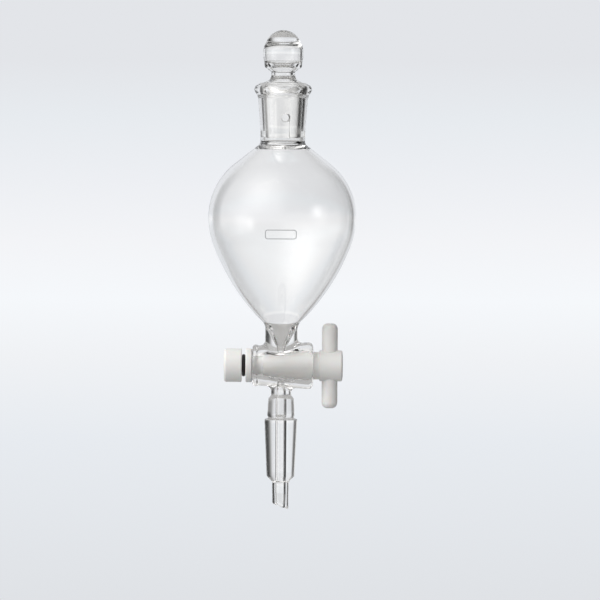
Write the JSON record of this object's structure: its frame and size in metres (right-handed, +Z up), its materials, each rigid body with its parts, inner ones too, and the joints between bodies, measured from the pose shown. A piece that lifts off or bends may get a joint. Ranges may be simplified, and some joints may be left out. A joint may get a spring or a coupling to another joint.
{
  "type": "separatory funnel",
  "caption": "Pear-shaped glass separatory funnel with a hollow vented stopper, a plug stopcock with a T-handle and lock nut, and a ground outlet cone with a drip tip.",
  "frame": {"origin": "centre of the outlet cone's large end, the gauge plane where a mating socket seals", "axes": "+Z up along the funnel's axis towards the stopper; +X along the stopcock towards its handle; the vent hole is on the -Y side"},
  "size_m": [0.0662, 0.0662, 0.2147],
  "materials": {
    "clear_glass": "clear, fire-polished borosilicate glass with transparent ground joints",
    "white_ptfe": "satin white PTFE, turned",
    "black_rubber": "moulded black rubber"
  },
  "bodies": {
    "funnel": {"neck_socket": "clear_glass", "bulb": "clear_glass", "stopcock_barrel": "clear_glass", "outlet_cone": "clear_glass"},
    "stopper": {"stopper": "clear_glass"},
    "plug": {"stopcock_plug": "white_ptfe", "handle_rod": "white_ptfe", "washer": "white_ptfe"},
    "o_ring": {"o_ring": "black_rubber"},
    "lock_nut": {"lock_nut": "white_ptfe"}
  },
  "joints": [
    {"name": "stopper_lift", "type": "slide", "parent": "funnel", "child": "stopper", "axis": [0, 0, 1], "range_m": [0, 0.06]},
    {"name": "stopcock_turn", "type": "hinge", "parent": "funnel", "child": "plug", "pos_m": [0, 0, 0.0246], "axis": [1, 0, 0], "continuous": true},
    {"name": "nut_travel", "type": "slide", "parent": "plug", "child": "o_ring", "axis": [-1, 0, 0], "range_m": [0, 0.0075]},
    {"name": "nut_turn", "type": "hinge", "parent": "o_ring", "child": "lock_nut", "pos_m": [-0.0216, 0, 0.0246], "axis": [-1, 0, 0], "range_deg": [0, 1801]}
  ],
  "couplings": [
    {"joint": "nut_turn", "follows": "nut_travel", "rad_per_m": 4188.8}
  ]
}
